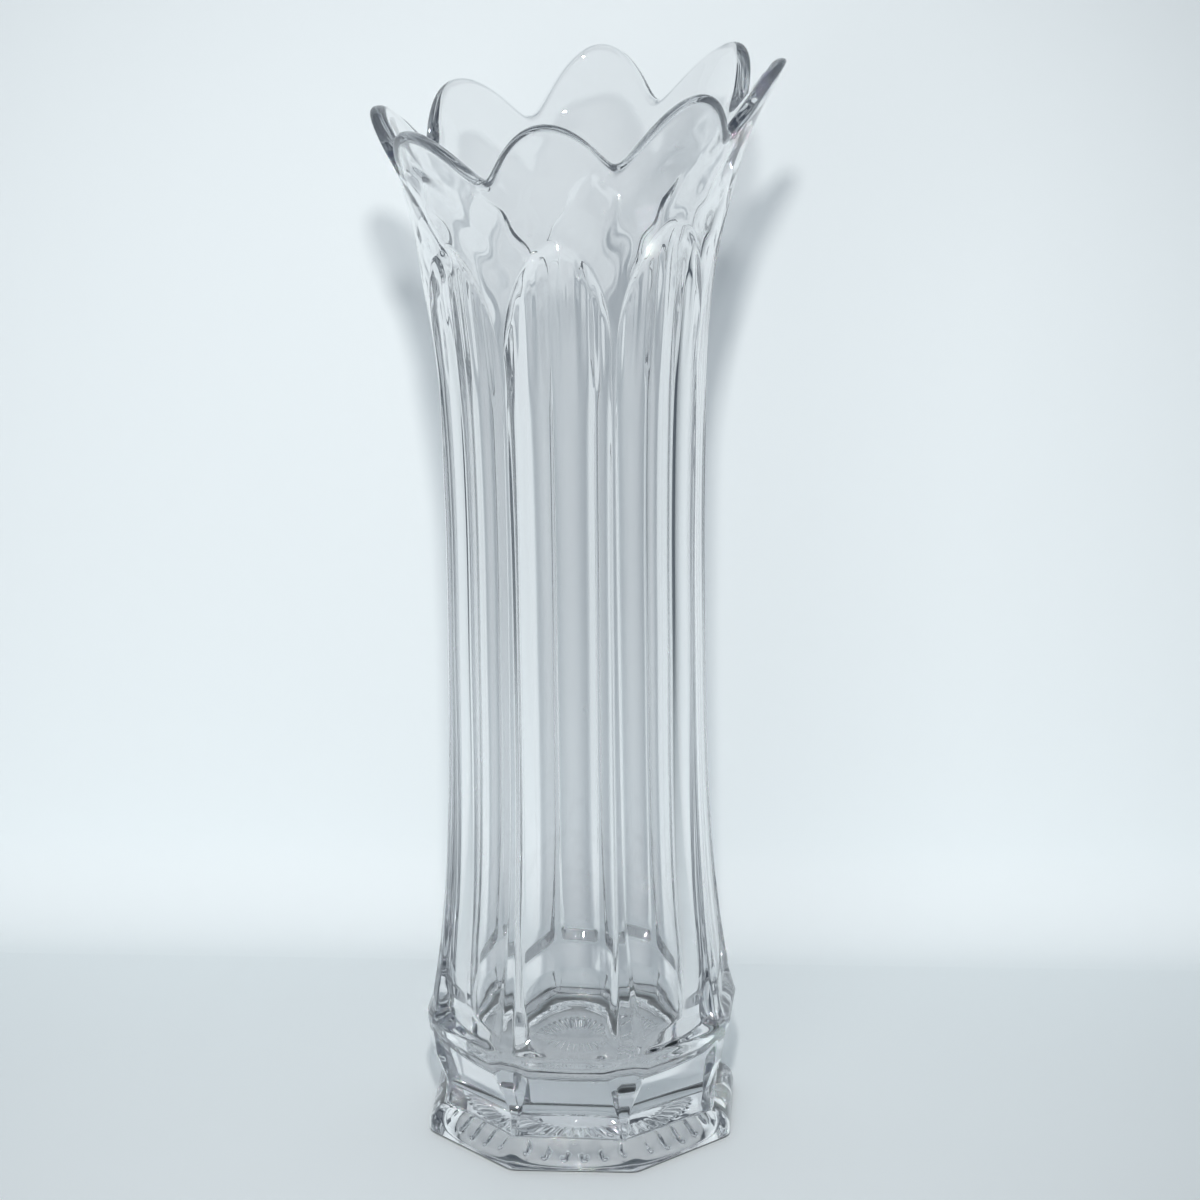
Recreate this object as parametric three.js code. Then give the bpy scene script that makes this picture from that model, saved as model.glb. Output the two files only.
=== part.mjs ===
// A tall vase of clear pressed glass, 14 inches high, on a heavy eight-sided foot.
// Eight flat panels with arched heads run up the body between narrow ribs, and the rim flares
// into eight round lobes. The whole vase is one piece of glass: it is pressed in a mould round
// a plunger, then swung while soft, which stretches, twists and tips its upper end.
// It is made the same way here. A lathe turns the blank, and each turned point is then moved
// to where the mould, the plunger, the shears and the swing put it.
import * as THREE from "three";

// Units are millimetres and degrees. The axis is Z, the table is z = 0, and the middle of the
// front panel faces -Y.
const sides = 8; // panels, rim lobes and sides of the foot

// Foot
const footAcrossFlats = 99.8;
const footCornerRadius = 5; // radius of the foot's upright corners
const footBevel = 0.9; // round at the foot's lower edge
const footEdgeHeight = 2.8; // upright side of the foot
const footTop = 9.6; // where the rounded top of the foot meets the neck
const footShelf = 5.9; // from the foot's side in to the neck

// Underside: a narrow flat ring that the vase rests on, a low bevel outside it, and inside it a
// recess with a pressed star of short rays in the middle and a fluted slope all round
const restingRingBore = 89.2; // inner diameter of the resting ring
const restingRingOuter = 92.6;
const edgeRise = 0.5; // rise of the low bevel from the resting ring to the foot's edge
const recessHeight = 4.35; // flat of the recess above the table
const recessSlope = 5.6; // width of the slope from that flat down to the resting ring
const raysPerSide = 5; // and as many flutes
const starHub = 33; // plain disc in the middle of the star
const starDeepest = 50; // diameter where the rays are deepest
const starDiameter = 55;
const rayDepth = 0.6; // from the crest between two rays to the bottom of a ray
const fluteDiameter = 86; // where the flutes are deepest
const fluteHeight = 0.85; // middle height of the flutes there
const fluteDepth = 1.3; // from the crest between two flutes to the bottom of a flute

// Lower body. A section has its height, the distance from the axis to the flat of a panel, half
// the width of that flat, the radius at the crest of a rib and the width of the crest.
const neck = { height: footTop, flat: 44, half: 17.2, crest: 47.7, band: 1.6 };
const panelFoot = { height: 17, flat: 43.4, half: 16.2, crest: 46.8, band: 3 };
const ribToe = { height: 21.5, flat: 44.8, half: 15.2, crest: 47.9, band: 4.2 };
const ribEnd = { height: 26, flat: 46.2, half: 14.2, crest: 48.8, band: 4.6 };
const ribStep = { height: 27.2, flat: 46.6, half: 13.9, crest: 50.1, band: 5 };
const knuckle = { height: 40, flat: 51, half: 11.8, crest: 52.7, band: 5 };
const knuckleTop = { height: 40.8, flat: 50.7, half: 12.2, crest: 52.5, band: 5 };
const collar = { height: 45.8, flat: 47.2, half: 15.2, crest: 50.2, band: 4.9 };
const collarTop = { height: 50, flat: 46.3, half: 15.8, crest: 49.3, band: 4.8 };

// Body above the collar: radius at the ribs against height, up to the middle of the rim
const bodyRadii = [
  [57, 48.1],
  [83, 45.4],
  [120, 43.3],
  [170, 42.5],
  [215, 42.5],
  [258, 44.1],
  [290, 47.6],
  [311, 50.6],
  [329, 55.7],
  [338.5, 60.4],
  [349.5, 66.2],
];
// Width of a rib's crest against height
const ribBands = [
  [57, 4.4],
  [90, 2.6],
  [150, 2],
  [220, 1.5],
  [275, 0.7],
];
const ribEdge = 0.5; // width of the edge between a rib's crest and a panel

// Arched heads of the panels
const archSpring = 273; // where an arch leaves its ribs
const archRise = 25.5;
const archSharpness = 1.6; // 2 is a half ellipse, less is more pointed
const archLedge = 11; // height of the sloping ledge over the crown of an arch

// Rim
const rimHeight = 349.5; // top of an average lobe, before the rim is tipped
const lobeHeight = 17.3; // from the bottom of a notch to the top of a lobe
const notchSoftness = 0.28; // 0 is a sharp notch
const lipThickness = 4.4;
const lipSlopeSpan = 1; // height over which the wall's slope at its end is taken

// No two lobes are alike: each is turned by some degrees and raised and pushed out by some
// millimetres. The first is over the front panel, the next one to its right.
const lobes = [
  { turn: -2, rise: 0.1, reach: 0 },
  { turn: -2, rise: 0.7, reach: -0.8 },
  { turn: -1.3, rise: 1.2, reach: 0.8 },
  { turn: -1.3, rise: 0.3, reach: -0.5 },
  { turn: 0.6, rise: 1, reach: 0 },
  { turn: -0.4, rise: -2.1, reach: 0.5 },
  { turn: -0.6, rise: -0.1, reach: -0.4 },
  { turn: -0.2, rise: -0.9, reach: 0.4 },
];
const lobesStart = 300; // no lobe reaches below this height

// Cavity
const floorHeight = 27.5;
const coveReach = 20.5; // the cove where the floor turns up into the wall is this wide
const coveRise = 8; // and this high
// Thickness of the wall at a rib against height
const wallAtRib = [
  [57, 10.1],
  [83, 9.2],
  [120, 7.9],
  [170, 7],
  [290, 6.9],
  [320, 6.2],
  [349.5, 5],
];

// What the swing did to the soft glass
// The body's turn on its foot in degrees, seen from above, against height
const turns = [
  [footTop, -2.2],
  [150, -2.3],
  [280, -2.9],
  [349.5, -3.6],
];
const tipSlope = 0.125; // rise of the rim per millimetre across
const tipTowards = -6.7; // azimuth of the highest lobe
const tipStart = 200;
const tipEnd = 290;
const rimDrift = 1.3; // sideways shift of the rim towards its high side

const pitch = (2 * Math.PI) / sides;
const stationsPerSide = 12;
const stations = sides * stationsPerSide;
const flatSteps = stationsPerSide - 4; // intervals across the flat of a panel
const radians = THREE.MathUtils.degToRad;

// Smooth curve through [height, value] knots, level with its end knots outside them.
function along(knots, height) {
  const last = knots.length - 1;
  const x = THREE.MathUtils.clamp(height, knots[0][0], knots[last][0]);
  let i = 0;
  while (i < last - 1 && x > knots[i + 1][0]) i++;
  const slope = (j) => {
    const [low, high] = [knots[Math.max(j - 1, 0)], knots[Math.min(j + 1, last)]];
    return (high[1] - low[1]) / (high[0] - low[0]);
  };
  const span = knots[i + 1][0] - knots[i][0];
  const t = (x - knots[i][0]) / span;
  const rise = knots[i + 1][1] - knots[i][1];
  const [a, b] = [slope(i) * span - rise, rise - slope(i + 1) * span];
  return knots[i][1] + t * rise + t * (1 - t) * (a * (1 - t) + b * t);
}

// Section of the body above the collar. The flats are cut just deep enough to leave the crest.
function bodySection(height) {
  const crest = along(bodyRadii, height);
  const band = along(ribBands, height);
  const edge = pitch / 2 - Math.asin((band / 2 + ribEdge) / crest);
  return { height, crest, band, flat: crest * Math.cos(edge), half: crest * Math.sin(edge) };
}

// Point of a section in the plane of its panel: x across the panel, y out from the axis.
function sectionPoint(section, k) {
  const side = k > stationsPerSide / 2 ? 1 : -1;
  const step = k > stationsPerSide / 2 ? stationsPerSide - k : k;
  if (step > 1) {
    const across = Math.sin((Math.PI * (k - stationsPerSide / 2)) / flatSteps);
    return [section.half * across, section.flat];
  }
  const turn = pitch / 2 - (step === 1 ? Math.asin(section.band / 2 / section.crest) : 0);
  return [side * section.crest * Math.sin(turn), section.crest * Math.cos(turn)];
}

// Share of the way across a panel, from 0 at its middle to 1 at its edges and on the rib.
function acrossPanel(k) {
  const step = Math.abs(k - stationsPerSide / 2);
  return Math.sin((Math.PI / flatSteps) * Math.min(step, flatSteps / 2));
}

// Height of the arch's edge and of the rim over a station.
function archHeight(k) {
  const drop = Math.pow(1 - Math.pow(acrossPanel(k), archSharpness), 1 / archSharpness);
  return archSpring + archRise * drop;
}

function lobeShare(angle) {
  const soft = (v) => Math.hypot(v, notchSoftness) - notchSoftness;
  return soft(Math.cos((angle * sides) / 2)) / soft(1);
}

function rimAt(angle) {
  return rimHeight - lobeHeight * (1 - lobeShare(angle));
}

function boreRadius(height) {
  return along(bodyRadii, height) - along(wallAtRib, height);
}

// Octagon with rounded corners: radius at an angle from the middle of a side.
function octagonRadius(acrossFlats, corner, angle) {
  const apothem = acrossFlats / 2;
  const turnStart = Math.atan(((apothem - corner) * Math.tan(pitch / 2)) / apothem);
  if (Math.abs(angle) <= turnStart) return apothem / Math.cos(angle);
  const centre = (apothem - corner) / Math.cos(pitch / 2);
  const off = pitch / 2 - Math.abs(angle);
  return centre * Math.cos(off) + Math.sqrt(corner ** 2 - (centre * Math.sin(off)) ** 2);
}

// Each ring of the blank is a function of a station k. It gives the distance out from the axis,
// the angle from the middle of the panel and the height.
const evenAngle = (k) => pitch * (k / stationsPerSide - 0.5);
const polar = ([x, y], height) => ({ out: Math.hypot(x, y), angle: Math.atan2(x, y), height });

const roundRing = (radius, height) => (k) => ({ out: radius, angle: evenAngle(k), height });

// Rings of rays or flutes, which are as high on average as the height given. A side has two stations
// more than its rays need, and these lie on the flanks of its middle ray.
const spareStations = stationsPerSide - 2 * raysPerSide;
const rayRing = (radius, height, depth) => (k) => {
  const past = k - stationsPerSide / 2 + spareStations;
  const halfRays = k - THREE.MathUtils.clamp(past, 0, 2 * spareStations) / 2;
  const flank = Math.abs((halfRays % 2) - 1); // 0 in the bottom of a ray, 1 on a crest
  return {
    out: radius,
    angle: pitch * (halfRays / (2 * raysPerSide) - 0.5),
    height: height + depth * (0.5 - flank),
  };
};
const footRing = (inset, height) => (k) => ({
  out: octagonRadius(footAcrossFlats - 2 * inset, footCornerRadius, evenAngle(k)),
  angle: evenAngle(k),
  height,
});
const sectionRing = (section) => (k) => polar(sectionPoint(section, k), section.height);
const bodyRing = (height) => sectionRing(bodySection(height));

// Rings that bend up from a level one to the edge of the arches.
const archRing = (level, share) => (k) => {
  const height = level + (archHeight(k) - level) * share;
  return polar(sectionPoint(bodySection(height), k), height);
};

const wallEnd = (angle) => rimAt(angle) - lipThickness / 2; // where the lip's rounding starts
const stationAngle = (k) => polar(sectionPoint(bodySection(archSpring), k)).angle;

// Rings of the ledge, which leaves a panel's arch and meets the flare smoothly.
const ledgeRing = (share) => (k) => {
  const [low, high] = [archRing(levelEnd, 1)(k), flareRing(0)(k)];
  const step = THREE.MathUtils.smoothstep(share, 0, 1);
  return {
    out: THREE.MathUtils.lerp(low.out, high.out, step),
    angle: THREE.MathUtils.lerp(low.angle, high.angle, share),
    height: THREE.MathUtils.lerp(low.height, high.height, share),
  };
};

// Rings from the top of the ledge to the lobed end of the wall.
const flareRing = (share) => (k) => {
  const angle = stationAngle(k);
  const ledge = ribEdge + archLedge * Math.sqrt(1 - acrossPanel(k) ** 2);
  const low = archHeight(k) + ledge;
  const height = low + (wallEnd(angle) - low) * share;
  return { out: along(bodyRadii, height), angle, height };
};

// Rings over the fire-polished lip, from outside (turn 0) over the top to inside (turn 180).
const lipRing = (turn) => (k) => {
  const angle = stationAngle(k);
  const height = wallEnd(angle);
  const [outer, inner] = [along(bodyRadii, height), boreRadius(height)];
  const slope = (outer - along(bodyRadii, height - lipSlopeSpan)) / lipSlopeSpan;
  const lean = Math.atan(slope);
  const middle = (outer + inner) / 2;
  const half = (outer - inner) / 2;
  const rise = (lipThickness / 2) * Math.sin(radians(turn));
  return {
    out: middle + half * Math.cos(radians(turn)) + rise * Math.sin(lean),
    angle,
    height: height + rise * Math.cos(lean),
  };
};

// Rings of the cavity: bent with the rim at the top, level below, round at the floor.
const boreRing = (level, share) => (k) => {
  const angle = stationAngle(k);
  const height = level + (wallEnd(angle) - level) * share;
  return { out: boreRadius(height), angle, height };
};
const floorRing = (turn) => {
  const wall = boreRadius(bodyRadii[0][0]);
  const inward = coveReach * (1 - Math.cos(radians(turn)));
  return roundRing(wall - inward, floorHeight + coveRise * (1 - Math.sin(radians(turn))));
};

function shelfRings(steps) {
  const rings = [];
  for (let i = 0; i <= steps; i++) {
    const turn = (Math.PI / 2) * (i / (steps + 0.5));
    const inset = footShelf * (1 - Math.cos(turn));
    rings.push(footRing(inset, footEdgeHeight + (footTop - footEdgeHeight) * Math.sin(turn)));
  }
  return rings;
}

// Heights of the level rings
const levelEnd = 248; // the last one below the arches
const bodyLevels = [57, 68, 83, 102, 130, 170, 212, 232, levelEnd];
const boreLevels = [levelEnd, 215, 170, 120, 85, 60];

const slopeStart = restingRingBore / 2 - recessSlope;
const rings = [
  roundRing(0, recessHeight),
  roundRing(starHub / 2, recessHeight),
  rayRing(starDeepest / 2, recessHeight, rayDepth),
  roundRing(starDiameter / 2, recessHeight),
  roundRing(slopeStart, recessHeight),
  rayRing(fluteDiameter / 2, fluteHeight, fluteDepth),
  roundRing(restingRingBore / 2, 0),
  roundRing(restingRingOuter / 2, 0),
  footRing(footBevel, edgeRise),
  footRing(0, edgeRise + footBevel),
  ...shelfRings(4),
  sectionRing(neck),
  sectionRing(panelFoot),
  sectionRing(ribToe),
  sectionRing(ribEnd),
  sectionRing(ribStep),
  sectionRing(knuckle),
  sectionRing(knuckleTop),
  sectionRing(collar),
  sectionRing(collarTop),
  ...bodyLevels.map((height) => bodyRing(height)),
  ...[0.3, 0.6, 0.84, 1].map((share) => archRing(levelEnd, share)),
  ...[0.33, 0.67].map((share) => ledgeRing(share)),
  ...[0, 0.25, 0.5, 0.75, 1].map((share) => flareRing(share)),
  ...[36, 72, 108, 144].map((turn) => lipRing(turn)),
  ...[1, 0.78, 0.56, 0.34, 0.14].map((share) => boreRing(levelEnd, share)),
  ...boreLevels.map((height) => boreRing(height, 0)),
  ...[0, 22.5, 45, 67.5, 90].map((turn) => floorRing(turn)),
  roundRing(0, floorHeight),
];

// The swing: a point of the pressed blank goes to its place on the finished vase.
const turnAt = (height) => (height < footTop ? 0 : radians(along(turns, height)));
const towards = new THREE.Vector3(Math.cos(radians(tipTowards)), Math.sin(radians(tipTowards)), 0);

// How much of each lobe's own turn, rise and reach a point takes, from its place round the vase.
function lobeAt(place, height) {
  const low = Math.floor(place);
  const blend = THREE.MathUtils.smoothstep(place - low, 0, 1);
  const lobe = (side) => lobes[THREE.MathUtils.euclideanModulo(side, sides)];
  const grown = THREE.MathUtils.smoothstep(height, lobesStart, rimHeight);
  const part = (name) => grown * THREE.MathUtils.lerp(lobe(low)[name], lobe(low + 1)[name], blend);
  return { turn: radians(part("turn")), rise: part("rise"), reach: part("reach") };
}

function swung({ out, angle, height }, side) {
  const own = lobeAt(side + angle / pitch, height);
  const azimuth = pitch * side - Math.PI / 2 + angle + turnAt(height) + own.turn;
  const reach = out + own.reach;
  const point = new THREE.Vector3(
    reach * Math.cos(azimuth),
    reach * Math.sin(azimuth),
    height + own.rise,
  );
  const tip = THREE.MathUtils.smoothstep(point.z, tipStart, tipEnd);
  const drift = rimDrift * THREE.MathUtils.smoothstep(point.z, tipEnd, rimHeight);
  point.z += tip * tipSlope * point.dot(towards);
  return point.addScaledVector(towards, drift);
}

function vaseGeometry() {
  const blank = new THREE.LatheGeometry(
    rings.map((ring, j) => new THREE.Vector2(ring(0).out, j)),
    stations,
  );
  const place = blank.attributes.position;
  for (let i = 0; i <= stations; i++) {
    const station = i % stations;
    const k = station % stationsPerSide;
    const side = Math.floor(station / stationsPerSide);
    rings.forEach((ring, j) => {
      const point = swung(ring(k), side);
      place.setXYZ(i * rings.length + j, point.x, point.y, point.z);
    });
  }
  blank.computeVertexNormals();
  return blank;
}

const glass = new THREE.MeshStandardMaterial({
  color: 0xdfe8ea,
  roughness: 0.03,
  metalness: 0,
  transparent: true,
  opacity: 0.35,
});

const vase = new THREE.Group();
const body = new THREE.Mesh(vaseGeometry(), glass);
body.name = "glass_vase";
vase.add(body);

export default vase;
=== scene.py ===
# %% [markdown]
# # A pressed glass vase
# The vase is one piece of clear glass. A gob of soft glass was pressed in a mould round a plunger,
# and the hot piece was then swung, which drew it out, turned it a little on its foot and tipped its
# rim. There is nothing to assemble, so this lesson is about one surface and one material: a mesh
# that bends light where the real glass does, and a glass shader that has something to bend.

# %% Load the imported model and bake its placement into the meshes
import math

import bpy
import numpy as np
from mathutils import Matrix, Vector


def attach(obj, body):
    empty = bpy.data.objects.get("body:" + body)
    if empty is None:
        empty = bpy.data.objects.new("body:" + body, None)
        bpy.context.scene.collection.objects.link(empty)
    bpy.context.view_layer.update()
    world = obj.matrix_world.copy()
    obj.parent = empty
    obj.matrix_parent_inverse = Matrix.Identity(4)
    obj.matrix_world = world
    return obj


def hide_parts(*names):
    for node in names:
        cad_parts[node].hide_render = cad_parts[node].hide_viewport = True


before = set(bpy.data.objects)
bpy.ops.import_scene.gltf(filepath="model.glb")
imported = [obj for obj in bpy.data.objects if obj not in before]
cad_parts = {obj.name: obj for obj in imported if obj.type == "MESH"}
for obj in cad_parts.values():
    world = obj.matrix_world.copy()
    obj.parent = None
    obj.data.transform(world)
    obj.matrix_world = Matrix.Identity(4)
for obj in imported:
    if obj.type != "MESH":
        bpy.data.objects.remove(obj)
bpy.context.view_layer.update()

mm = 0.001
print("packed pieces:", sorted(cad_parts))

# %% [markdown]
# ## Sizes
# The sizes are those of the vase itself, in millimetres, measured up from the table. A section of
# the lower body gives the distance from the axis to a flat panel, half the width of that panel, the
# radius at the crest of the rib between two panels and the width of the crest.

# %% Foot, underside and lower body
SIDES = 8
PITCH = 2 * math.pi / SIDES
FOOT_FLATS, FOOT_CORNER, FOOT_BEVEL = 99.8, 5.0, 0.9
REST_OUTER, REST_RISE = 92.6, 0.5
FOOT_EDGE, FOOT_TOP, FOOT_SHELF = 2.8, 9.6, 5.9
SHELF_SWEEP = math.pi / 2 * 0.93
STAR_HEIGHT, STAR_HUB, STAR_EDGE, STAR_BORE, RAYS = 4.35, 16.5, 38.4, 44.0, 40
RECESS_WALL, RECESS_WALL_TOP, REST_ROUND = 43.4, 1.5, 0.6
RAY_DEPTHS = [(16.5, 0.0), (17.2, 0.8), (25.0, 1.0), (27.5, 0.0)]
FLUTE_DEPTHS = [(39.4, 0.0), (40.2, 1.0), (42.6, 1.1), (43.4, 0.0)]

#            height  flat  half  crest  band
LOWER_BODY = [
    (9.6, 44.0, 17.2, 47.7, 1.6),
    (17.0, 43.5, 15.9, 46.8, 3.0),
    (21.5, 44.6, 15.2, 48.4, 4.2),
    (26.0, 46.2, 14.2, 50.0, 4.6),
    (27.2, 46.6, 13.9, 50.8, 5.0),
    (40.0, 50.6, 12.0, 52.5, 5.0),
    (40.8, 50.4, 12.0, 52.4, 5.0),
    (46.4, 46.4, 11.9, 50.8, 4.9),
    (50.0, 45.9, 12.3, 50.4, 4.8),
    (57.0, 45.4, 14.0, 49.2, 4.4),
    (68.0, 44.1, 14.7, 47.7, 3.7),
]

# %% Upper body, arches and rim
BODY_START, RIBS_START, TABLE_TOP = 57.0, 83.0, 360.0
BODY_RADII = [
    (57, 48.1), (83, 45.4), (120, 43.3), (170, 42.5), (215, 42.5), (258, 44.1),
    (290, 47.6), (311, 50.6), (329, 55.7), (338.5, 60.4), (349.5, 66.2),
]
RIB_BANDS = [(57, 4.4), (90, 2.6), (150, 2.0), (220, 1.5), (275, 0.7)]
RIB_EDGE, RIB_RISE, RIB_FADE, RIB_LEVEL = 0.5, 0.8, 225.0, 270.0
ARCH_SPRING, ARCH_RISE, ARCH_SHARPNESS, ARCH_LEDGE, LEDGE_SWEEP = 273.0, 25.5, 1.6, 11.0, 1.8
CROWN_RIPPLE, CROWN_RIPPLE_WIDTH = 0.15, 3.8
RIPPLE_SIDE_FADE, RIPPLE_RISE_FADE = (0.75, 1.0), (0.1, 0.9)
RIM_HEIGHT, LOBE_HEIGHT, NOTCH_SOFTNESS, LIP = 349.5, 17.3, 0.28, 4.4

# Each lobe of the rim, from the front one on to the right: turned by degrees, raised and reaching
# out by millimetres.
LOBES = [
    (-2.0, 0.1, 0.0), (-2.0, 0.7, -0.8), (-1.3, 1.2, 0.8), (-1.3, 0.3, -0.5),
    (0.6, 1.0, 0.0), (-0.4, -2.1, 0.5), (-0.6, -0.1, -0.4), (-0.2, -0.9, 0.4),
]
LOBES_START = 300.0

# %% Cavity, and what the swing did
FLOOR, COVE_REACH, COVE_RISE = 27.5, 20.5, 8.0
WALLS = [(57, 10.1), (83, 9.2), (120, 7.9), (170, 7.0), (290, 6.9), (320, 6.2), (349.5, 5.0)]
TURNS = [(9.6, -2.2), (150, -2.3), (280, -2.9), (349.5, -3.6)]
TIP_SLOPE, TIP_TOWARDS, TIP_START, TIP_END, RIM_DRIFT = 0.125, -6.7, 200.0, 290.0, 1.3

# Soft waves inside the flare: height of a wave in millimetres, waves round the vase, length of a
# wave up the wall in millimetres, and where the wave starts. They grow and fade between heights.
FLARE_WAVES = [
    (0.13, 11, 34.0, 1.9), (0.11, 17, -25.0, 0.6), (0.05, 26, 19.0, 2.0), (0.04, 7, 13.0, 3.2),
]
WAVES_GROW, WAVES_FADE = (272.0, 302.0), (328.0, 342.0)

# %% [markdown]
# ## Curves
# A swung wall has no kinks along its height, so its radius is a smooth curve through a few knots.
# The lower body kept the creases of the mould, only softened by the fire, so there the sections are
# joined by straight lines whose corners are rounded a little.

# %% A smooth curve through knots, and a smooth step
def smoothstep(x, low, high):
    t = np.clip((x - low) / (high - low), 0, 1)
    return t * t * (3 - 2 * t)


def along(knots, height):
    x = np.array([k[0] for k in knots], float)
    y = np.array([k[1] for k in knots], float)
    slope = np.empty_like(y)
    slope[1:-1] = (y[2:] - y[:-2]) / (x[2:] - x[:-2])
    slope[0] = (y[1] - y[0]) / (x[1] - x[0])
    slope[-1] = (y[-1] - y[-2]) / (x[-1] - x[-2])
    at = np.clip(height, x[0], x[-1])
    i = np.clip(np.searchsorted(x, at, side="right") - 1, 0, len(x) - 2)
    span, rise = x[i + 1] - x[i], y[i + 1] - y[i]
    t = (at - x[i]) / span
    a, b = slope[i] * span - rise, rise - slope[i + 1] * span
    return y[i] + t * rise + t * (1 - t) * (a * (1 - t) + b * t)


# %% The section of the body at any height, as one table with softened corners
def upper_section(height):
    crest, band = along(BODY_RADII, height), along(RIB_BANDS, height)
    edge = PITCH / 2 - np.arcsin((band / 2 + RIB_EDGE) / crest)
    rise = RIB_RISE * (1 - smoothstep(height, RIB_FADE, RIB_LEVEL))
    return np.stack([crest * np.cos(edge), crest * np.sin(edge), crest + rise, band], -1)


def section_table(step=0.1, softness=0.9):
    knots = np.array(LOWER_BODY)
    top = np.arange(RIBS_START, TABLE_TOP, 1.0)
    heights = np.concatenate([knots[:, 0], top])
    values = np.concatenate([knots[:, 1:], upper_section(top)])
    fine = np.arange(FOOT_TOP, TABLE_TOP, step)
    spread = np.linspace(-softness, softness, 13)
    table = [np.mean([np.interp(fine + s, heights, v) for s in spread], 0) for v in values.T]
    return fine, np.stack(table, -1)


TABLE_HEIGHTS, TABLE = section_table()


def section_at(height):
    return [np.interp(height, TABLE_HEIGHTS, TABLE[:, j]) for j in range(4)]


print("body across two ribs at 200 mm:", round(2 * float(section_at(200.0)[2]), 1), "mm")

# %% [markdown]
# ## The blank
# The mesh is a lathe form whose rings are pushed into the mould's shape. Each ring has the same
# stations, counted from the middle of a panel to the middle of a rib: most lie across the flat, a
# few on the shoulder beside it and a few on the crest, so that mesh edges run up the real edges.

# %% Stations round the vase
FLAT_STEPS, SHOULDER_STEPS, CREST_STEPS = 26, 5, 5
HALF_STEPS = FLAT_STEPS + SHOULDER_STEPS + CREST_STEPS
SIDE_STEPS = 2 * HALF_STEPS

steps = np.arange(SIDE_STEPS * SIDES)
side_of = steps // SIDE_STEPS
from_rib = steps % SIDE_STEPS
off_middle = from_rib - HALF_STEPS
hand = np.where(off_middle < 0, -1.0, 1.0)
reach = np.abs(off_middle)
flat_share = np.sin(np.clip(reach / FLAT_STEPS, 0, 1) * math.pi / 2)
shoulder_share = np.clip((reach - FLAT_STEPS) / SHOULDER_STEPS, 0, 1)
crest_share = np.clip((reach - FLAT_STEPS - SHOULDER_STEPS) / CREST_STEPS, 0, 1)
even_angle = PITCH * (from_rib / SIDE_STEPS - 0.5)
panel_middle = -math.pi / 2 + PITCH * side_of


# %% A point of a section, and the radius of a section at an angle
def section_angle(section):
    flat, half, crest, band = section
    edge = PITCH / 2 - np.arcsin(band / 2 / crest)
    x = half * flat_share + (crest * np.sin(edge) - half) * shoulder_share
    y = flat + (crest * np.cos(edge) - flat) * shoulder_share
    angle = np.arctan2(x, y)
    angle = np.where(crest_share > 0, edge + (PITCH / 2 - edge) * crest_share, angle)
    return hand * angle


def sharp_radius(section, angle):
    flat, half, crest, band = section
    angle = np.abs((angle + PITCH / 2) % PITCH - PITCH / 2)
    edge = PITCH / 2 - np.arcsin(band / 2 / crest)
    x1, y1 = crest * np.sin(edge), crest * np.cos(edge)
    nx, ny = flat - y1, x1 - half
    shoulder = (nx * half + ny * flat) / (nx * np.sin(angle) + ny * np.cos(angle))
    panel = flat / np.cos(angle)
    radius = np.where(angle < np.arctan2(half, flat), panel, shoulder)
    return np.where(angle > edge, crest, radius)


def section_ring(height, softness=0.28):
    section = section_at(height)
    angle = section_angle(section)
    spread = np.linspace(-softness, softness, 9)
    radius = np.mean([sharp_radius(section, angle + s / section[2]) for s in spread], 0)
    return radius, angle, height + 0 * angle


# %% [markdown]
# ## Foot and star
# The foot is an octagon with rounded corners and a quarter-round shoulder. Underneath is a recess
# with a pressed star: forty short rays round a plain disc, and a flute in line with each of them
# where the recess slopes down to its low wall. Glass shows its underside as fans of bright and dark
# lines, so rays, flutes and wall are real geometry.

# %% Rings of the underside and the foot
def octagon_radius(across_flats, angle):
    apothem = across_flats / 2
    start = math.atan((apothem - FOOT_CORNER) * math.tan(PITCH / 2) / apothem)
    centre = (apothem - FOOT_CORNER) / math.cos(PITCH / 2)
    off = PITCH / 2 - np.abs(angle)
    corner = centre * np.cos(off) + np.sqrt(FOOT_CORNER ** 2 - (centre * np.sin(off)) ** 2)
    return np.where(np.abs(angle) <= start, apothem / np.cos(angle), corner)


def round_ring(radius, height):
    return radius + 0 * even_angle, even_angle, height + 0 * even_angle


def ray_ring(radius):
    """Each ray is a round flute, and a sharp crest is left between two flutes."""
    tooth = from_rib * (RAYS // SIDES) / SIDE_STEPS
    flute = np.sin(math.pi * (tooth - np.floor(tooth)))
    slope = (STAR_EDGE, RECESS_WALL, STAR_BORE), (STAR_HEIGHT, RECESS_WALL_TOP, 0.0)
    depth = np.interp(radius, *zip(*RAY_DEPTHS, *FLUTE_DEPTHS))
    height = np.interp(radius, *slope) + depth * (flute - 0.5)
    return radius + 0 * even_angle, even_angle, np.maximum(height, 0.0)


def foot_ring(inset, height):
    radius = octagon_radius(FOOT_FLATS - 2 * inset, even_angle)
    return radius, even_angle, height + 0 * even_angle


def underside_rings():
    rings = [round_ring(STAR_HUB * share, STAR_HEIGHT) for share in (0.0, 0.5, 0.9)]
    rings += [ray_ring(radius) for radius in np.arange(STAR_HUB, STAR_EDGE, 1.0)]
    rings += [ray_ring(radius) for radius in np.linspace(STAR_EDGE, RECESS_WALL, 10)]
    rings += [ray_ring(radius) for radius in np.linspace(RECESS_WALL, STAR_BORE, 5)[1:]]
    return rings + [round_ring(STAR_BORE + REST_ROUND, 0.0)]


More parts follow.
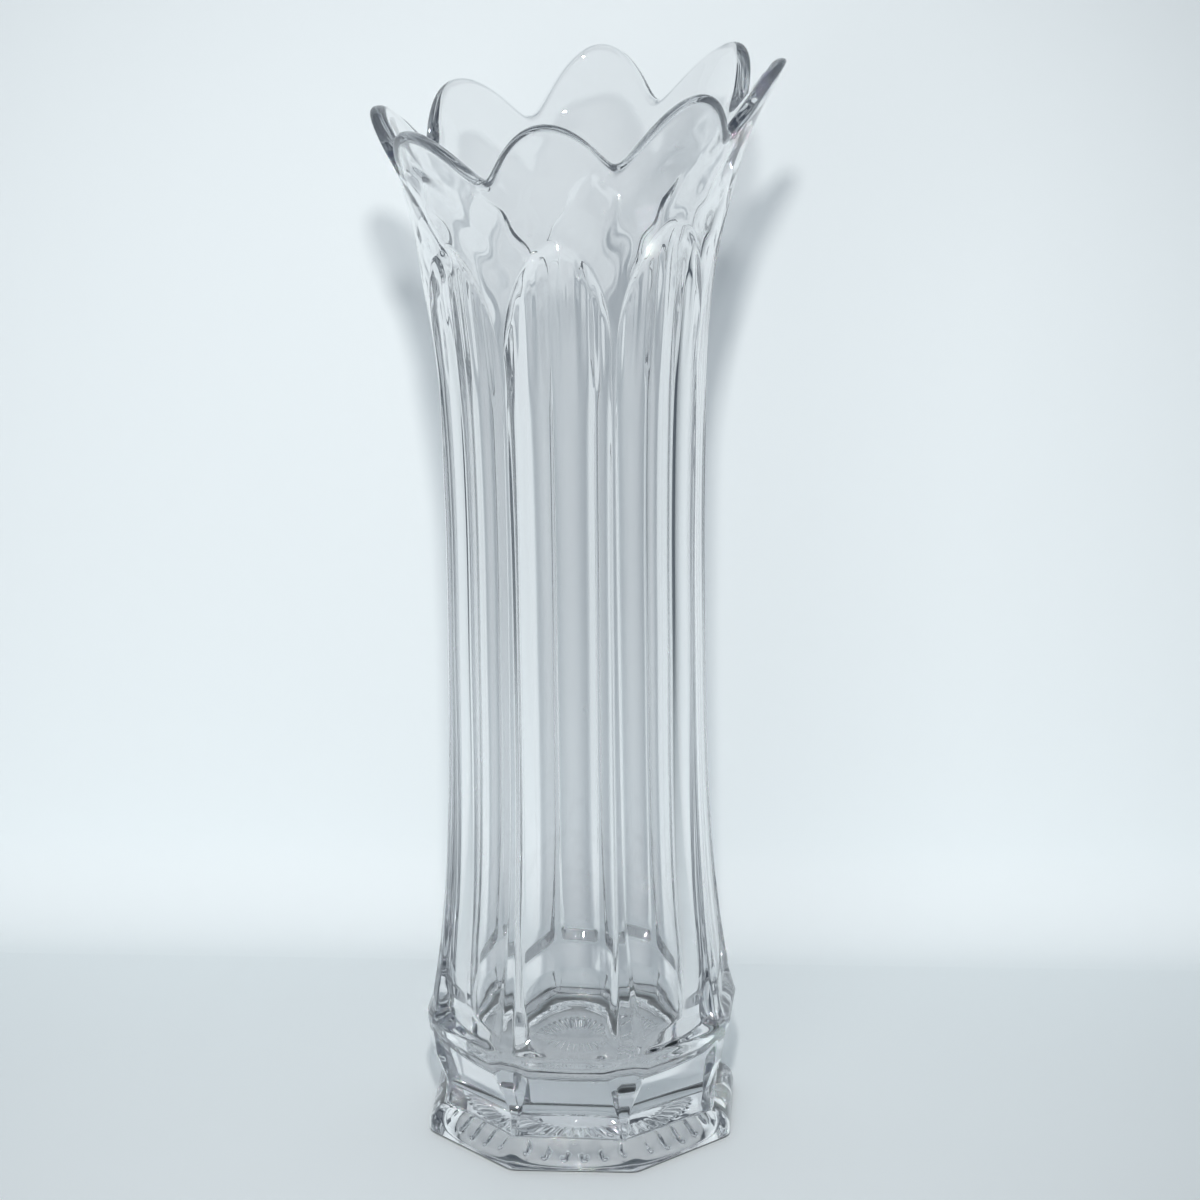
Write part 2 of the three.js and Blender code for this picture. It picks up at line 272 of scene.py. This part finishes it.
def foot_rings():
    rings = [round_ring(REST_OUTER / 2, 0.0)]
    edge = foot_ring(FOOT_BEVEL, 0.0)[0]
    for share in (0.3, 0.65):
        radius = REST_OUTER / 2 + (edge - REST_OUTER / 2) * share
        rings.append((radius, even_angle, REST_RISE * share + 0 * edge))
    for turn in np.linspace(0, math.pi / 2, 6):
        inset, rise = FOOT_BEVEL * (1 - math.sin(turn)), FOOT_BEVEL * (1 - math.cos(turn))
        rings.append(foot_ring(inset, REST_RISE + rise))
    for turn in np.linspace(0, SHELF_SWEEP, 14):
        rise = (FOOT_TOP - FOOT_EDGE) * math.sin(turn)
        rings.append(foot_ring(FOOT_SHELF * (1 - math.cos(turn)), FOOT_EDGE + rise))
    return rings


# %% [markdown]
# ## Arches, flare and lip
# The flat panels end in arched heads, where a sloping ledge leads out to the round flare. The rings
# are bent up to follow the arches, so the ledge stays crisp without a very dense mesh. The rim was
# sheared into eight lobes and then melted round in the fire.

# %% Rings of the upper part
def arch_height():
    crown = (1 - flat_share ** ARCH_SHARPNESS) ** (1 / ARCH_SHARPNESS)
    return ARCH_SPRING + ARCH_RISE * crown


def lobe_share(angle):
    soft = np.hypot(np.cos(angle * SIDES / 2), NOTCH_SOFTNESS) - NOTCH_SOFTNESS
    return soft / (math.hypot(1, NOTCH_SOFTNESS) - NOTCH_SOFTNESS)


def wall_end(angle):
    return RIM_HEIGHT - LOBE_HEIGHT * (1 - lobe_share(angle)) - LIP / 2


def bore_radius(height):
    return along(BODY_RADII, height) - along(WALLS, height)


RIM_ANGLE = section_angle(section_at(ARCH_SPRING))


def arch_ring(level, share):
    radius, angle, height = section_ring(level + (arch_height() - level) * share)
    on_flat = 1 - smoothstep(flat_share, *RIPPLE_SIDE_FADE)
    ripple = np.cos(2 * math.pi * radius * np.sin(angle) / CROWN_RIPPLE_WIDTH)
    grown = smoothstep(share, *RIPPLE_RISE_FADE)
    return radius + CROWN_RIPPLE * ripple * on_flat * grown, angle, height


def flare_ring(share):
    ledge = RIB_EDGE + ARCH_LEDGE * np.sqrt(1 - flat_share ** 2)
    low = arch_height() + ledge
    height = low + (wall_end(RIM_ANGLE) - low) * share
    return along(BODY_RADII, height), RIM_ANGLE, height


def ledge_ring(share):
    inner, outer = arch_ring(LEVEL_END, 1.0), flare_ring(0.0)
    out = share ** LEDGE_SWEEP
    return tuple(a + (b - a) * s for a, b, s in zip(inner, outer, (out, share, share)))


def lip_ring(turn):
    height = wall_end(RIM_ANGLE)
    outer, inner = along(BODY_RADII, height), bore_radius(height)
    lean = np.arctan(outer - along(BODY_RADII, height - 1))
    middle, half, rise = (outer + inner) / 2, (outer - inner) / 2, LIP / 2 * math.sin(turn)
    return middle + half * math.cos(turn) + rise * np.sin(lean), RIM_ANGLE, height + rise * np.cos(lean)


def flare_wave(azimuth, height):
    wave = sum(
        rise * np.sin(around * azimuth + 2 * math.pi * height / length + start)
        for rise, around, length, start in FLARE_WAVES
    )
    return wave * smoothstep(height, *WAVES_GROW) * (1 - smoothstep(height, *WAVES_FADE))


def bore_ring(level, share):
    height = level + (wall_end(RIM_ANGLE) - level) * share
    return bore_radius(height) + flare_wave(panel_middle + RIM_ANGLE, height), RIM_ANGLE, height


def floor_ring(turn):
    wall = float(bore_radius(BODY_START))
    radius = wall - COVE_REACH * (1 - math.cos(turn))
    return round_ring(radius, FLOOR + COVE_RISE * (1 - math.sin(turn)))


# %% All rings in order: up the outside, over the lip and down the inside
LEVEL_END, BORE_END = 248.0, 40.0
FINE_STEP, BODY_STEP, BORE_STEP = 0.7, 5.0, 6.0


def all_rings():
    rings = underside_rings() + foot_rings()
    rings += [section_ring(h) for h in np.arange(FOOT_TOP, BODY_START, FINE_STEP)]
    rings += [section_ring(h) for h in np.arange(BODY_START, LEVEL_END, BODY_STEP)]
    rings += [arch_ring(LEVEL_END, s) for s in np.linspace(0, 1, 24)]
    rings += [ledge_ring(s) for s in np.linspace(0, 1, 12)[1:-1]]
    rings += [flare_ring(s) for s in np.linspace(0, 1, 30)]
    rings += [lip_ring(t) for t in np.linspace(0, math.pi, 17)[1:-1]]
    rings += [bore_ring(LEVEL_END, s) for s in np.linspace(1, 0.03, 36)]
    rings += [bore_ring(h, 0.0) for h in np.arange(LEVEL_END, BORE_END, -BORE_STEP)]
    rings += [floor_ring(t) for t in np.linspace(0, math.pi / 2, 24)]
    wall = float(bore_radius(BODY_START)) - COVE_REACH
    rings += [round_ring(wall * s, FLOOR) for s in (0.85, 0.6, 0.35, 0.15, 0.0)]
    return rings


# %% [markdown]
# ## The swing
# Every ring is now moved as the soft glass was: turned on the foot, tipped towards one side near
# the rim, and carried a little that way. Then the rings are joined into one closed mesh.

# %% Swing the rings and build the mesh
def lobe_values(angle):
    place = side_of + angle / PITCH
    low = np.floor(place).astype(int)
    blend = smoothstep(place - low, 0.0, 1.0)[:, None]
    values = np.array(LOBES)
    return (values[low % SIDES] * (1 - blend) + values[(low + 1) % SIDES] * blend).T


def swung(ring):
    out, angle, height = ring
    lobe_turn, lobe_rise, lobe_reach = lobe_values(angle) * smoothstep(height, LOBES_START, RIM_HEIGHT)
    turn = np.where(height < FOOT_TOP, 0.0, along(TURNS, height)) + lobe_turn
    azimuth = panel_middle + angle + np.radians(turn)
    out, height = out + lobe_reach, height + lobe_rise
    x, y = out * np.cos(azimuth), out * np.sin(azimuth)
    tx, ty = math.cos(math.radians(TIP_TOWARDS)), math.sin(math.radians(TIP_TOWARDS))
    z = height + smoothstep(height, TIP_START, TIP_END) * TIP_SLOPE * (x * tx + y * ty)
    drift = RIM_DRIFT * smoothstep(height, TIP_END, RIM_HEIGHT)
    return np.stack([x + drift * tx, y + drift * ty, z], -1)


def closed_mesh(name, rings):
    """Rings of equal length, the first and the last of them a single point."""
    count = len(rings[0])
    points = np.concatenate([rings[0][:1]] + rings[1:-1] + [rings[-1][:1]])
    last = len(points) - 1
    here = np.arange(count)
    there = (here + 1) % count
    faces = [(0, 1 + b, 1 + a) for a, b in zip(here, there)]
    for r in range(len(rings) - 3):
        low, high = 1 + r * count, 1 + (r + 1) * count
        faces += np.stack([low + here, low + there, high + there, high + here], -1).tolist()
    top = 1 + (len(rings) - 3) * count
    faces += [(top + a, top + b, last) for a, b in zip(here, there)]
    mesh = bpy.data.meshes.new(name)
    mesh.from_pydata((points * mm).tolist(), [], faces)
    mesh.shade_smooth()
    return mesh


rings = [swung(ring) for ring in all_rings()]
vase_mesh = closed_mesh("pressed_vase", rings)
vase = bpy.data.objects.new("pressed_vase", vase_mesh)
bpy.context.scene.collection.objects.link(vase)
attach(vase, "root")
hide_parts("glass_vase")
print("vase mesh:", len(vase_mesh.vertices), "vertices,", len(vase_mesh.polygons), "faces")


# %% [markdown]
# ## Glass
# Clear glass has no colour on its surface: what shows is the light that it bends. A weak blue-grey
# absorption inside, as iron in the sand gives, does nothing to a thin wall and turns slate where
# light runs along the glass, as in the lobes seen from their edge. Such light is reflected dozens
# of times, so the scene allows that many bounces. A lamp's shadow rays go straight through, weaker
# at the edges of the glass, because a path tracer finds too few of the true light paths to lay a
# clean shadow. Only the lowest part of the foot stops them, which leaves the thin dark line of
# contact that makes glass look heavy on its table.

# %% Material of the glass
GLASS_TINT, GLASS_INDEX = (0.998, 0.998, 0.999, 1), 1.52
DEPTH_COLOUR, DEPTH_DENSITY = (0.46, 0.48, 0.52, 1), 3.6
SHADOW_FACE, SHADOW_EDGE, SHADOW_BLEND = (0.95, 0.945, 0.945, 1), (0.45, 0.47, 0.49, 1), 0.35
CONTACT_SHADOW = (0.008, 0.01, 0.015, 1)


def clear_glass():
    material = bpy.data.materials.new("clear_pressed_glass")
    material.use_nodes = True
    nodes, links = material.node_tree.nodes, material.node_tree.links
    surface = nodes["Principled BSDF"]
    surface.inputs["Base Color"].default_value = GLASS_TINT
    surface.inputs["Roughness"].default_value = 0.0
    surface.inputs["IOR"].default_value = GLASS_INDEX
    surface.inputs["Transmission Weight"].default_value = 1.0
    facing = nodes.new("ShaderNodeLayerWeight")
    facing.inputs["Blend"].default_value = SHADOW_BLEND
    shade = nodes.new("ShaderNodeMix")
    shade.data_type = "RGBA"
    shade.inputs["A"].default_value = SHADOW_FACE
    shade.inputs["B"].default_value = SHADOW_EDGE
    links.new(facing.outputs["Facing"], shade.inputs["Factor"])
    clear = nodes.new("ShaderNodeBsdfTransparent")
    path = nodes.new("ShaderNodeLightPath")
    place = nodes.new("ShaderNodeTexCoord")
    split = nodes.new("ShaderNodeSeparateXYZ")
    links.new(place.outputs["Object"], split.inputs["Vector"])
    above = nodes.new("ShaderNodeMath")
    above.operation = "GREATER_THAN"
    above.inputs[1].default_value = RECESS_WALL_TOP * mm
    links.new(split.outputs["Z"], above.inputs[0])
    contact = nodes.new("ShaderNodeMix")
    contact.data_type = "RGBA"
    contact.inputs["A"].default_value = CONTACT_SHADOW
    links.new(above.outputs["Value"], contact.inputs["Factor"])
    links.new(shade.outputs["Result"], contact.inputs["B"])
    links.new(contact.outputs["Result"], clear.inputs["Color"])
    either = nodes.new("ShaderNodeMath")
    either.operation = "MAXIMUM"
    links.new(path.outputs["Is Shadow Ray"], either.inputs[0])
    links.new(path.outputs["Is Diffuse Ray"], either.inputs[1])
    mix = nodes.new("ShaderNodeMixShader")
    links.new(either.outputs["Value"], mix.inputs["Fac"])
    links.new(surface.outputs["BSDF"], mix.inputs[1])
    links.new(clear.outputs["BSDF"], mix.inputs[2])
    links.new(mix.outputs["Shader"], nodes["Material Output"].inputs["Surface"])
    depth = nodes.new("ShaderNodeVolumeAbsorption")
    depth.inputs["Color"].default_value = DEPTH_COLOUR
    depth.inputs["Density"].default_value = DEPTH_DENSITY
    links.new(depth.outputs["Volume"], nodes["Material Output"].inputs["Volume"])
    return material


vase_mesh.materials.append(clear_glass())
print("glass: index", GLASS_INDEX, "and absorption", DEPTH_DENSITY, "per metre")


# %% [markdown]
# ## Studio
# A pale sheet lies under the vase and turns up into a wall close behind it. The main lamp is a
# small spot a little above the camera, so the vase's own shadow falls on the wall just below and
# behind it, and shows through the glass. A broad fill lamp further back softens that shadow. The
# wall ends not far to either side, and the dim room beyond it gives the glass its dark edges.

# %% The sheet
SHEET_COLOUR, SHEET_ROUGHNESS = (0.835, 0.887, 0.902, 1), 0.9


def sheet_material(see_through):
    material = bpy.data.materials.new("pale_sheet")
    material.use_nodes = True
    nodes, links = material.node_tree.nodes, material.node_tree.links
    surface = nodes["Principled BSDF"]
    surface.inputs["Base Color"].default_value = SHEET_COLOUR
    surface.inputs["Roughness"].default_value = SHEET_ROUGHNESS
    surface.inputs["Specular IOR Level"].default_value = 0.0
    if see_through:
        side = nodes.new("ShaderNodeNewGeometry")
        clear = nodes.new("ShaderNodeBsdfTransparent")
        mix = nodes.new("ShaderNodeMixShader")
        links.new(side.outputs["Backfacing"], mix.inputs["Fac"])
        links.new(surface.outputs["BSDF"], mix.inputs[1])
        links.new(clear.outputs["BSDF"], mix.inputs[2])
        links.new(mix.outputs["Shader"], nodes["Material Output"].inputs["Surface"])
    return material


def sheet_piece(name, profile, half_width, see_through):
    points = [(x, y, z) for y, z in profile for x in (-half_width, half_width)]
    faces = [(2 * i, 2 * i + 1, 2 * i + 3, 2 * i + 2) for i in range(len(profile) - 1)]
    mesh = bpy.data.meshes.new(name)
    mesh.from_pydata(points, [], faces)
    mesh.shade_smooth()
    mesh.materials.append(sheet_material(see_through))
    piece = bpy.data.objects.new(name, mesh)
    bpy.context.scene.collection.objects.link(piece)


BEND_START, BEND, WALL_HALF_WIDTH, WALL_TOP, FLOOR_REACH = 0.125, 0.035, 0.5, 0.62, 6.0
WALL_FOOT, FLOOR_LEVEL = 0.0002, -0.00005
wall_profile = []
for turn in np.linspace(0, math.pi / 2, 13):
    back, rise = BEND * math.sin(turn), BEND * (1 - math.cos(turn))
    wall_profile.append((BEND_START + back, WALL_FOOT + rise))
wall_profile.append((BEND_START + BEND, WALL_TOP))
sheet_piece("sheet_wall", wall_profile, WALL_HALF_WIDTH, True)
floor_profile = [(-FLOOR_REACH, FLOOR_LEVEL), (FLOOR_REACH, FLOOR_LEVEL)]
sheet_piece("sheet_floor", floor_profile, FLOOR_REACH, False)
print("sheet: wall", WALL_TOP, "m high and", 2 * WALL_HALF_WIDTH, "m wide")

# %% Lamp, fill light and room
FLASH_POWER, FLASH_RADIUS, FLASH_CONE = 43.0, 0.025, math.radians(52)
FLASH_PLACE, FLASH_AIM = Vector((0.063, -0.95, 0.775)), Vector((-0.03, 0, 0.15))
FILL_POWER, FILL_SIZE = 8.5, 0.9
FILL_PLACE, FILL_AIM = Vector((-0.5, -1.9, 0.7)), Vector((0, 0, 0.2))
ROOM_COLOUR, ROOM_STRENGTH = (0.5, 0.62, 0.8, 1), 0.12


def hang(light, place, aim):
    holder = bpy.data.objects.new(light.name, light)
    holder.location = place
    holder.rotation_euler = (aim - holder.location).to_track_quat("-Z", "Y").to_euler()
    bpy.context.scene.collection.objects.link(holder)
    return holder


flash = bpy.data.lights.new("flash", "SPOT")
flash.shadow_soft_size, flash.spot_size, flash.spot_blend = FLASH_RADIUS, FLASH_CONE, 1.0
flash.energy = FLASH_POWER
hang(flash, FLASH_PLACE, FLASH_AIM)

fill = bpy.data.lights.new("fill", "AREA")
fill.shape, fill.size, fill.energy = "DISK", FILL_SIZE, FILL_POWER
soft = hang(fill, FILL_PLACE, FILL_AIM)
soft.visible_glossy = False
soft.visible_transmission = False

world = bpy.data.worlds.new("room")
bpy.context.scene.world = world
world.use_nodes = True
background = world.node_tree.nodes["Background"]
background.inputs["Color"].default_value = ROOM_COLOUR
background.inputs["Strength"].default_value = ROOM_STRENGTH
print("lamps:", FLASH_POWER, "W flash and", FILL_POWER, "W fill")

# %% Camera
CAMERA_TURN, CAMERA_DISTANCE, CAMERA_HEIGHT = math.radians(4.05), 1.3, 0.6062
CAMERA_AIM_RIGHT, CAMERA_AIM_HEIGHT, CAMERA_ROLL = 0.00738, 0.1801, math.radians(-0.6)
CAMERA_FILM, CAMERA_LENS = 36.0, 126.8
camera_data = bpy.data.cameras.new("camera")
camera_data.sensor_width = CAMERA_FILM
camera_data.lens = CAMERA_LENS
camera = bpy.data.objects.new("camera", camera_data)
across, along_view = math.cos(CAMERA_TURN), math.sin(CAMERA_TURN)
place = Vector((along_view * CAMERA_DISTANCE, -across * CAMERA_DISTANCE, CAMERA_HEIGHT))
aim = Vector((across * CAMERA_AIM_RIGHT, along_view * CAMERA_AIM_RIGHT, CAMERA_AIM_HEIGHT))
look = (aim - place).to_track_quat("-Z", "Y").to_matrix()
camera.matrix_world = Matrix.Translation(place) @ (look @ Matrix.Rotation(CAMERA_ROLL, 3, "Z")).to_4x4()
bpy.context.scene.collection.objects.link(camera)
bpy.context.scene.camera = camera
print("camera:", round((aim - place).length, 3), "m from its aim, lens", CAMERA_LENS, "mm")

# %% Colour and light paths
scene = bpy.context.scene
scene.view_settings.view_transform = "Standard"
BOUNCES, SEE_THROUGH_BOUNCES = 64, 24
scene.cycles.max_bounces = BOUNCES
scene.cycles.transmission_bounces = BOUNCES
scene.cycles.glossy_bounces = BOUNCES
scene.cycles.transparent_max_bounces = SEE_THROUGH_BOUNCES
scene.cycles.sample_clamp_indirect = 0.0
scene.cycles.caustics_reflective = False
scene.cycles.caustics_refractive = False
